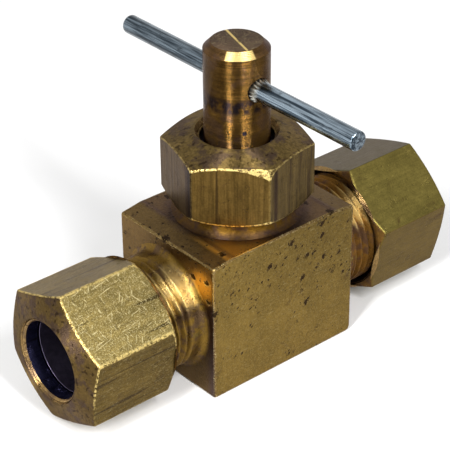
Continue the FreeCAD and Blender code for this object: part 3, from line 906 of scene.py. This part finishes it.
def top_marks(shade, color, patch):
    """The bar's top: a painted golden reflection at the left front corner, and grime and painted shade in the
    creases and round the packing nut.
    """
    around = shade.radius()
    # painted reflection: golden left front corner
    gold_reflection = shade.steps(shade.x + shade.y, -13, -9, 0.9, 0.0)
    gold_reflection = gold_reflection * shade.steps(shade.z, 18.6, 18.7) * shade.steps(around, 8.0, 8.3)
    color = shade.mix(gold_reflection, color, PAINTED_GOLD_REFLECTION)
    # grime and painted shade in the creases and round the packing nut
    crease = shade.band(abs(shade.x), 7.4, 8.0, 8.3, 8.7)
    grime_and_shade = shade.math("MAXIMUM", crease, shade.steps(around, 8.2, 9.6, 1.0, 0.0))
    grime_and_shade = grime_and_shade * shade.steps(shade.z, 18.55, 18.65) * shade.steps(shade.z, 18.85, 19.5, 0.5, 0.0)
    return shade.mix(grime_and_shade * shade.steps(patch, 0.3, 0.55, 0.3, 1.0), color, VIOLET)


def body_marks(shade, color, patch):
    """All the marks and painted light of the valve body."""
    color = front_marks(shade, color)
    color = end_face_painted_light(shade, color)
    color = neck_painted_highlight(shade, color)
    return top_marks(shade, color, patch)


def stem_marks(shade, color, patch):
    """A dark stain round the stem below the cross hole, painted highlights as a bright line across the top
    and along the front of its edge, and a dent.
    """
    color = shade.brighten(color, shade.steps(shade.z, 32.5, 33.5, 1.25, 1.0))
    blot = shade.steps(shade.noise(shade.vector((1, 1, 0.6)), 0.62, 3, 0.6), 0.42, 0.5)
    color = shade.mix(shade.band(shade.z, 32.8, 33.6, 34.5, 35.3) * blot * 0.92, color, INK)
    # painted highlight: a bright line across the top face
    off = abs(shade.x * 0.955 - shade.y * 0.295)
    line = shade.steps(off, 0.08, 0.2, 1.0, 0.0) * shade.steps(shade.z, 40.84, 40.85)
    color = shade.mix(line * shade.steps(patch, 0.35, 0.5, 0.3, 1.0), color, WORN)
    # painted highlight: the front of the slope round the top
    ahead = shade.x * -0.559 + shade.y * -0.829 - shade.radius() * 0.885
    wear_and_highlight = shade.steps(ahead, -0.04, 0.08) * shade.steps(shade.z, 39.94, 40.06, 0.0, 0.9)
    color = shade.mix(wear_and_highlight * shade.steps(shade.z, 40.78, 40.84, 1.0, 0.0), color, PAINTED_HIGHLIGHT)
    dent = shade.steps(shade.distance((-1.86, -3.51, 30.7)), 0.22, 0.36, 1.0, 0.0)
    return shade.mix(dent, color, INK)


# ---------------------------------------------------------------- other finishes
def plated_steel():
    """Zinc plate over drawn steel: blue-grey, with long draw lines, small dark nicks, and painted shade on
    the far half.
    """
    shade = Shader("plated_steel")
    out = abs(shade.y)
    draw_lines = shade.noise(shade.vector((1.4, 0.04, 1.4)), 2.0, 4, 0.7)
    nick = shade.noise(shade.vector((1, 0.4, 1)), 1.4, 5, 0.7)
    color = shade.mix(shade.steps(draw_lines, 0.38, 0.6), (0.3, 0.37, 0.43), (0.03, 0.045, 0.06))
    color = shade.mix(shade.steps(nick, 0.56, 0.7, 0.0, 0.7), color, (0.02, 0.025, 0.03))
    # painted shade: the far half darker
    shaded_far_half = shade.steps(shade.y, -2, 2, 1.0, 0.6)
    sheared_end = shade.steps(out, 20.24, 20.27, 1.0, 0.5)
    color = shade.brighten(color, shaded_far_half * sheared_end)
    color = shade.mix(shade.steps(out, 4.2, 5.2, 0.6, 0.0), color, (0.5, 0.46, 0.36))
    return shade.finish(color, shade.steps(nick, 0.3, 0.7, 0.16, 0.34), shade.bump(draw_lines, 0.04))


def plain_finish(name, color, roughness, metallic):
    """An inner piece: one colour with a little mottling."""
    shade = Shader(name)
    fine = shade.noise(shade.vector(), 1.2, 4)
    mixed = shade.mix(shade.steps(fine, 0.3, 0.7), color, tuple(part * 0.7 for part in color))
    return shade.finish(mixed, roughness, shade.bump(fine, 0.03), metallic)


# ---------------------------------------------------------------- build the pieces
body_brass = brass("body_brass", (1, 1, 1), [UPRIGHT_AXIS, RUN_AXIS], streaks=0.1, mottling=0.2,
                   details=body_marks, pits=0.95, pit_scale=(0.8, 0.8, 1.4), pit_turn=(0, 45, 0),
                   pit_rise=(5, 16), wear=0.4)
inlet_brass = brass("inlet_brass", (0.04, 1, 1), [RUN_AXIS], seed=3.1, streaks=0.2, lines=0.7, pits=0.25,
                    wear=0.9)
outlet_brass = brass("outlet_brass", (0.06, 1, 1), [RUN_AXIS], seed=11.3, streaks=0.12, mottling=0.2,
                     pits=0.2, wear=0)
pack_brass = brass("pack_brass", (1, 1, 0.04), [UPRIGHT_AXIS], seed=7.7, streaks=0.35, lines=0.6, pits=0.25,
                   wear=0.95)
stem_brass = brass("stem_brass", (0.03, 0.03, 2.2), [UPRIGHT_AXIS], seed=5.3, streaks=0.42, mottling=0.45,
                   details=stem_marks, wear=0, rings=0.15, dull=(31, 34.5, 0.0, 0.07))
# dark violet-blue: painted shade for the sleeves and hidden inner pieces, not the colour of brass
shaded_inner_brass = plain_finish("shaded_inner_brass", (0.2, 0.17, 0.26), 0.35, 1.0)
inner_steel = plain_finish("inner_steel", (0.55, 0.55, 0.55), 0.3, 1.0)
packing_white = plain_finish("packing_white", (0.8, 0.8, 0.77), 0.5, 0.0)

make_valve_body(body_brass)
make_compression_nut("inlet", -1, 9.5, INLET_FLATS, INLET_SCUFFS, INLET_FRONT, PAINTED_INLET_BORE_SHADE, inlet_brass)
make_ferrule("inlet", -1, shaded_inner_brass)
make_compression_nut("outlet", 1, 12.6, OUTLET_FLATS, NO_SCUFFS, OUTLET_FRONT, PAINTED_BORE_SHADE, outlet_brass)
make_ferrule("outlet", 1, shaded_inner_brass)
make_packing_nut(pack_brass)
make_stem(stem_brass)
make_cross_bar(plated_steel())

INNER = {"gland_follower": shaded_inner_brass, "packing_washer": shaded_inner_brass, "needle_tip": inner_steel,
         "packing_ring_lower": packing_white, "packing_ring_middle": packing_white,
         "packing_ring_upper": packing_white}
for node, finish in INNER.items():
    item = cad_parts[node]
    item.data.materials.clear()
    item.data.materials.append(finish)


# ---------------------------------------------------------------- floor, light and camera, in metres
FLOOR_HALF = 0.6
FLOOR_GAP = 0.00002  # below the object, so that the two never share a plane
LIT_AT = (0, 0, 0.015)


def make_floor():
    """A pale floor; far from the object it stays white to the camera and in reflections."""
    half = FLOOR_HALF
    mesh = bpy.data.meshes.new("floor")
    mesh.from_pydata([(-half, -half, 0), (half, -half, 0), (half, half, 0), (-half, half, 0)],
                     [], [(0, 1, 2, 3)])
    floor = bpy.data.objects.new("floor", mesh)
    floor.location.z = -FLOOR_GAP
    bpy.context.scene.collection.objects.link(floor)
    shade = Shader("floor")
    shade.link((1, 1, 1), shade.bsdf.inputs["Emission Color"])
    shade.link(shade.seen() * shade.steps(shade.radius(), 80, 300, 0.0, 0.8),
               shade.bsdf.inputs["Emission Strength"])
    mesh.materials.append(shade.finish((0.9, 0.9, 0.9), 0.9, metallic=0.0))


def area_light(name, spot, width, height, power):
    """A rectangular light at spot that faces the object."""
    lamp = bpy.data.lights.new(name, "AREA")
    lamp.shape, lamp.size, lamp.size_y, lamp.energy = "RECTANGLE", width, height, power
    item = bpy.data.objects.new(name, lamp)
    item.location = spot
    item.rotation_mode = "QUATERNION"
    item.rotation_quaternion = (Vector(LIT_AT) - Vector(spot)).to_track_quat("-Z", "Y")
    bpy.context.scene.collection.objects.link(item)


def make_world():
    """Even white light all round: full strength where it is seen, weaker where it lights things."""
    world = bpy.data.worlds.new("studio")
    world.use_nodes = True
    nodes = Nodes(world.node_tree)
    background = nodes.tree.nodes["Background"]
    level = nodes.node("MapRange", "Result", {"Value": nodes.seen(), "To Min": 0.4, "To Max": 1.0})
    nodes.link(level, background.inputs["Strength"])
    nodes.link((1, 1, 1), background.inputs["Color"])
    bpy.context.scene.world = world


def make_camera():
    """The camera's place comes from fitting the object's known edges to the view."""
    camera = bpy.data.cameras.new("camera")
    camera.lens, camera.sensor_width = 140.08, 36.0
    camera.clip_start, camera.clip_end = 0.01, 10
    item = bpy.data.objects.new("camera", camera)
    spot = Vector((-118.9, -138.8, 127.2)) * MM
    target = Vector((2.76, 5.65, 12.29)) * MM
    roll = Matrix.Rotation(math.radians(-0.53), 4, "Z").to_quaternion()
    item.location = spot
    item.rotation_mode = "QUATERNION"
    item.rotation_quaternion = (target - spot).to_track_quat("-Z", "Y") @ roll
    bpy.context.scene.collection.objects.link(item)
    bpy.context.scene.camera = item


make_floor()
make_world()
area_light("right_softbox", (-0.054, -0.342, 0.286), 0.055, 0.26, 1.9)
area_light("left_softbox", (-0.322, -0.130, 0.286), 0.055, 0.26, 1.9)
make_camera()
bpy.context.scene.view_settings.view_transform = "Standard"
